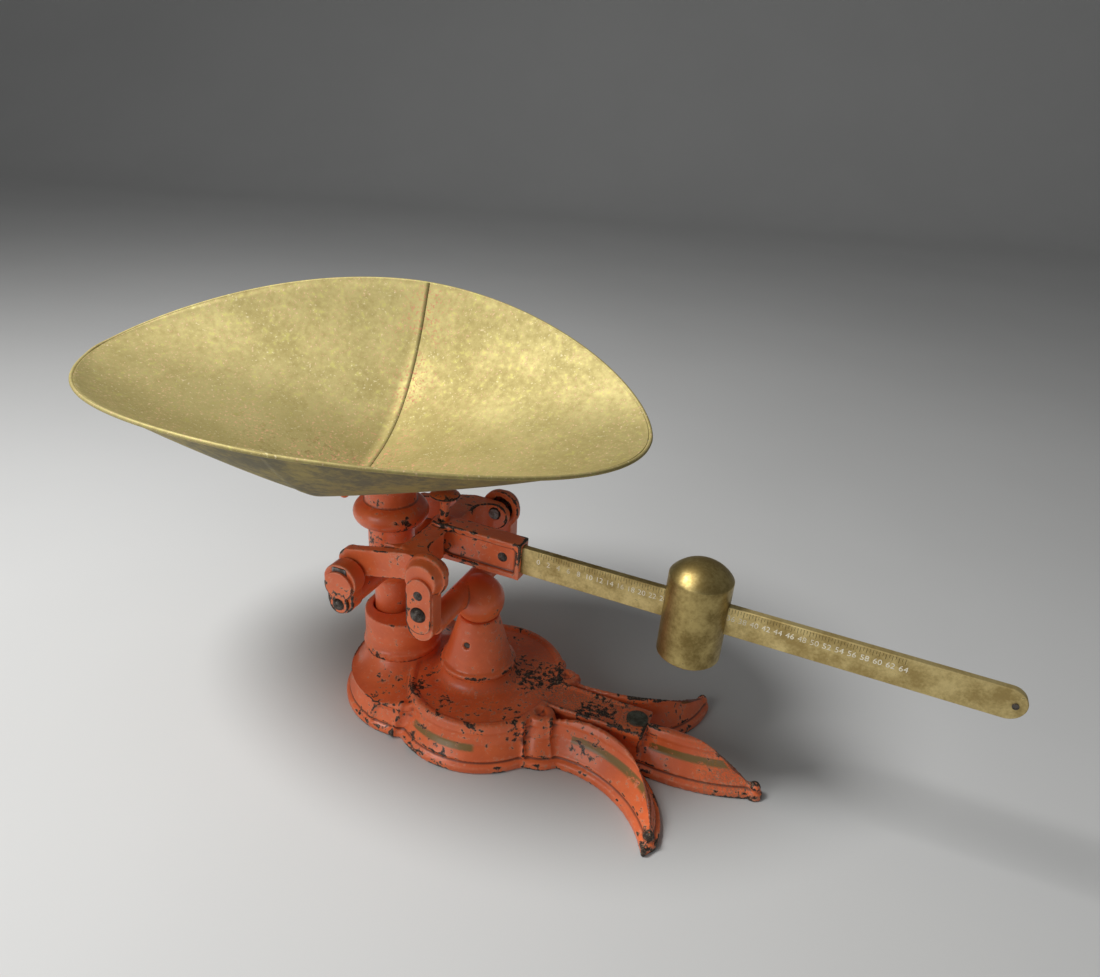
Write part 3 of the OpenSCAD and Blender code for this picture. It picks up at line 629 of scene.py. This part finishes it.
def makeRim(name):
    values = scoopValues
    steps, sides = values["rimSteps"], values["wireSteps"]
    t = np.linspace(0, 2 * math.pi, steps, endpoint=False)
    power = 2 / values["planPower"]
    x = values["halfLength"] * np.sign(np.cos(t)) * np.abs(np.cos(t)) ** power
    y = values["halfWidth"] * np.sign(np.sin(t)) * np.abs(np.sin(t)) ** power
    x, y = x + values["rimOut"] * np.cos(t), y + values["rimOut"] * np.sin(t)
    z = -values["endDrop"] * (np.clip(np.abs(x) / values["halfLength"], 0, 1)) ** 2 - 0.5
    path = np.stack([x, y, z], axis=1)
    ahead = np.roll(path, -1, axis=0) - np.roll(path, 1, axis=0)
    ahead /= np.linalg.norm(ahead, axis=1)[:, None]
    across = np.cross(ahead, (0, 0, 1))
    across /= np.linalg.norm(across, axis=1)[:, None]
    over = np.cross(across, ahead)
    angle = np.linspace(0, 2 * math.pi, sides, endpoint=False)
    ring = path[:, None, :] + values["wire"] * (np.cos(angle)[None, :, None] * across[:, None, :]
                                               + np.sin(angle)[None, :, None] * over[:, None, :])
    faces = [(i * sides + j, i * sides + (j + 1) % sides,
              (i + 1) % steps * sides + (j + 1) % sides, (i + 1) % steps * sides + j)
             for i in range(steps) for j in range(sides)]
    mesh = bpy.data.meshes.new(name)
    mesh.from_pydata([tuple(point) for point in placeScoop(ring.reshape(-1, 3))], [], faces)
    mesh.update()
    work = bmesh.new()
    work.from_mesh(mesh)
    bmesh.ops.recalc_face_normals(work, faces=work.faces)
    work.to_mesh(mesh)
    work.free()
    setAttribute(mesh, "inside", np.ones(len(mesh.vertices)))
    smoothFaces(mesh)
    return newObject(name, mesh)


# bar, its marks and numbers

barValues = {
    "pivot": (51.5, 0, 114.5), "tilt": 1.2, "start": 50.0, "reach": 350.0, "height": 17.2, "thick": 4.2,
    "edge": 0.55, "zero": 98.0, "ounce": 3.06, "ounces": 64, "markDepth": 0.05,
    "halfMark": 2.0, "wholeMark": 3.2, "markWidth": 0.22, "markCut": 0.06,
    "numberHeight": 3.3, "numberDrop": 7.4,
}


def placeBar(mesh):
    # bar drawn level along X, then turned about the fulcrum
    pivot = Vector(barValues["pivot"])
    turn = Matrix.Translation(pivot) @ Matrix.Rotation(math.radians(barValues["tilt"]), 4, "Y")
    mesh.transform(Matrix.Scale(mm, 4) @ turn @ Matrix.Translation(-pivot))
    mesh.update()


def makeBar(name):
    values = barValues
    half = values["height"] / 2
    centre = values["pivot"][2]
    tip = values["reach"] - half
    outline = [(values["start"], centre - half), (tip, centre - half)]
    outline += [(tip + half * math.sin(a), centre - half * math.cos(a))
                for a in np.linspace(0, math.pi, 33)[1:-1]]
    outline += [(tip, centre + half), (values["start"], centre + half)]
    work = bmesh.new()
    front = [work.verts.new((x, -values["thick"] / 2, z)) for x, z in outline]
    back = [work.verts.new((x, values["thick"] / 2, z)) for x, z in outline]
    work.faces.new(front)
    work.faces.new(back[::-1])
    for index in range(len(outline)):
        after = (index + 1) % len(outline)
        work.faces.new((front[after], front[index], back[index], back[after]))
    bmesh.ops.recalc_face_normals(work, faces=work.faces)
    mesh = bpy.data.meshes.new(name)
    work.to_mesh(mesh)
    work.free()
    piece = newObject(name, mesh)
    bevel = piece.modifiers.new("edge", "BEVEL")
    bevel.width = values["edge"]
    bevel.segments = 3
    bevel.limit_method = "ANGLE"
    bevel.angle_limit = math.radians(50)
    bakeModifiers(piece)
    placeBar(piece.data)
    return piece


def markTree():
    # rows of cut marks: long ones at each ounce, short ones between
    tree = bpy.data.node_groups.new("barMarks", "GeometryNodeTree")
    face = tree.interface
    face.new_socket("Geometry", in_out="INPUT", socket_type="NodeSocketGeometry")
    for label, kind in (("First", "Float"), ("Step", "Float"), ("Count", "Int"), ("Top", "Float"),
                        ("Front", "Float"), ("Short", "Float"), ("Long", "Float"), ("Width", "Float"),
                        ("Depth", "Float")):
        face.new_socket(label, in_out="INPUT", socket_type="NodeSocket" + kind)
    face.new_socket("Finish", in_out="INPUT", socket_type="NodeSocketMaterial")
    face.new_socket("Geometry", in_out="OUTPUT", socket_type="NodeSocketGeometry")

    def node(kind, settings=None, **values):
        made = tree.nodes.new(kind)
        for key, value in (settings or {}).items():
            setattr(made, key, value)
        for key, value in values.items():
            slot = made.inputs[int(key[2:]) if key.startswith("at") else key]
            if hasattr(value, "is_output"):
                tree.links.new(value, slot)
            else:
                slot.default_value = value
        return made

    given = node("NodeGroupInput").outputs
    line = node("GeometryNodeMeshLine", {"mode": "OFFSET"}, Count=given["Count"])
    start = node("ShaderNodeCombineXYZ", X=given["First"], Y=given["Front"], Z=given["Top"])
    gap = node("ShaderNodeCombineXYZ", X=given["Step"])
    tree.links.new(start.outputs[0], line.inputs["Start Location"])
    tree.links.new(gap.outputs[0], line.inputs["Offset"])
    index = node("GeometryNodeInputIndex").outputs[0]
    odd = node("ShaderNodeMath", {"operation": "MODULO"}, at0=index, at1=2.0).outputs[0]
    longer = node("ShaderNodeMath", {"operation": "SUBTRACT"},
                  at0=given["Long"], at1=given["Short"]).outputs[0]
    cut = node("ShaderNodeMath", {"operation": "MULTIPLY"}, at0=odd, at1=longer).outputs[0]
    length = node("ShaderNodeMath", {"operation": "SUBTRACT"}, at0=given["Long"], at1=cut).outputs[0]
    size = node("ShaderNodeCombineXYZ", X=given["Width"], Y=given["Depth"], Z=length)
    lower = node("ShaderNodeMath", {"operation": "MULTIPLY"}, at0=length, at1=-0.5).outputs[0]
    shift = node("ShaderNodeCombineXYZ", Z=lower)
    moved = node("GeometryNodeSetPosition", Geometry=line.outputs[0], Offset=shift.outputs[0])
    cube = node("GeometryNodeMeshCube")
    cube.inputs["Size"].default_value = (1, 1, 1)
    placed = node("GeometryNodeInstanceOnPoints", Points=moved.outputs[0], Instance=cube.outputs[0],
                  Scale=size.outputs[0])
    real = node("GeometryNodeRealizeInstances", Geometry=placed.outputs[0])
    painted = node("GeometryNodeSetMaterial", Geometry=real.outputs[0], Material=given["Finish"])
    node("NodeGroupOutput", Geometry=painted.outputs[0])
    return tree


def makeMarks(name, tree, finish, settings):
    piece = newObject(name, bpy.data.meshes.new(name))
    rows = piece.modifiers.new("marks", "NODES")
    rows.node_group = tree
    names = {item.name: item.identifier for item in tree.interface.items_tree if item.in_out == "INPUT"}
    for key, value in settings.items():
        rows[names[key]] = value
    rows[names["Finish"]] = finish
    bakeModifiers(piece)
    placeBar(piece.data)
    return piece


def makeNumbers(name, numbers):
    values = barValues
    meshes = []
    for label, x, top, size in numbers:
        curve = bpy.data.curves.new("number", "FONT")
        curve.body = label
        curve.size = size * 1.38
        curve.extrude = values["markDepth"]
        curve.resolution_u = 3
        curve.align_x = "CENTER"
        text = newObject("number", curve)
        view = bpy.context.evaluated_depsgraph_get()
        mesh = bpy.data.meshes.new_from_object(text.evaluated_get(view))
        upright = Matrix.Rotation(math.pi / 2, 4, "X")
        mesh.transform(Matrix.Translation((x, -values["thick"] / 2, top)) @ upright)
        meshes.append(mesh)
        bpy.data.objects.remove(text)
    work = bmesh.new()
    for mesh in meshes:
        work.from_mesh(mesh)
    bmesh.ops.remove_doubles(work, verts=work.verts, dist=1e-5)
    joined = bpy.data.meshes.new(name)
    work.to_mesh(joined)
    work.free()
    piece = newObject(name, joined)
    placeBar(joined)
    return piece


# build

addCamera(cameraValues)
addLamp("keyLamp", studioValues["key"])
addLamp("frontLamp", studioValues["front"])
world = bpy.data.worlds.new("studio")
world.use_nodes = True
world.node_tree.nodes["Background"].inputs[0].default_value = tuple(studioValues["world"]) + (1,)
world.node_tree.nodes["Background"].inputs[1].default_value = studioValues["worldPower"]
scene.world = world
scene.view_settings.view_transform = "Standard"

makeSweep("paleSweep", studioValues)
print("camera, lamps and floor ready")

redPaint = makeRedPaint("redPaint", paintValues, paintValues["chipLevel"])
knobPaint = makeRedPaint("knobPaint", paintValues, paintValues["knobChipLevel"])
scoopBrass = makeScoopBrass("scoopBrass", brassValues["scoop"], scoopStains)
barBrass = makeBrass("barBrass", brassValues["bar"])
poiseBrass = makeBrass("poiseBrass", brassValues["poise"])
rivetSteel = makeSteel("rivetSteel", steelValues["rivet"])
discSteel = makeSteel("discSteel", steelValues["disc"])
knifeSteel = makeSteel("knifeSteel", steelValues["knife"])
darkIron = makeSteel("darkIron", steelValues["iron"])
markDark = makeSteel("markDark", steelValues["marks"])
numberPale = makeSteel("numberPale", steelValues["numbers"])
print("finishes ready")

castings = (
    ("base", "baseCasting", 0.0008, 3, "base", shapeBase),
    ("fulcrum_stand", "fulcrumStand", 0.0006, 4, "base", None),
    ("lever", "leverCasting", 0.00055, 3, "beam", None),
    ("column", "loadColumn", 0.0006, 4, "column", None),
)
for node, name, voxel, rounds, body, shape in castings:
    piece = castFrom(node, name, voxel, rounds, shape)
    if node == "base":
        markBase(piece.data)
    finishPiece(piece, redPaint, body, [node])
for side in ("front", "back"):
    for node, body in (("fulcrum_cover_", "base"), ("load_cover_", "column")):
        piece = castFrom(node + side, node.replace("_", "-") + side, 0.0003, 2)
        finishPiece(piece, redPaint, body, [node + side])
piece = castFrom("balance_knob", "balanceKnob", 0.00035, 3)
finishPiece(piece, knobPaint, "beam", ["balance_knob"])
piece = castFrom("poise", "slidingPoise", 0.00045, 1)
finishPiece(piece, poiseBrass, "poise", ["poise"])
print("castings ready")

finishPiece(makeSheet("scoopSheetLeft", -1), scoopBrass, "scoop", ["scoop_left"])
finishPiece(makeSheet("scoopSheetRight", 1), scoopBrass, "scoop", ["scoop_right"])
finishPiece(makeRim("scoopRim"), scoopBrass, "scoop", ["scoop_rim"])
print("scoop ready")

bar = makeBar("graduatedBar")
finishPiece(bar, barBrass, "beam", ["bar"])
tree = markTree()
top = barValues["pivot"][2] + barValues["height"] / 2 - barValues["edge"]
marks = makeMarks("barMarks", tree, markDark, {
    "First": barValues["zero"], "Step": barValues["ounce"] / 2, "Count": barValues["ounces"] * 2 + 1,
    "Top": top, "Front": -barValues["thick"] / 2, "Short": barValues["halfMark"],
    "Long": barValues["wholeMark"], "Width": barValues["markWidth"],
    "Depth": barValues["markCut"]})
finishPiece(marks, markDark, "beam", None)
numbers = [(str(ounce), barValues["zero"] + barValues["ounce"] * ounce, top - barValues["numberDrop"],
            barValues["numberHeight"]) for ounce in range(0, barValues["ounces"] + 1, 2)]
finishPiece(makeNumbers("barNumbers", numbers), numberPale, "beam", None)
print("bar ready")

finishes = {
    "red_paint": redPaint, "knob_paint": knobPaint, "scoop_brass": scoopBrass, "bar_brass": barBrass,
    "poise_brass": poiseBrass, "disc_steel": discSteel, "iron": darkIron, "knife_steel": knifeSteel,
    "rivet_steel": rivetSteel,
}
for part in frame["record"]["subparts"]:
    shown = frame["nodes"][part["node"]]
    shown.data.materials.clear()
    shown.data.materials.append(finishes[part["material_slot"]])
print("carried parts painted")
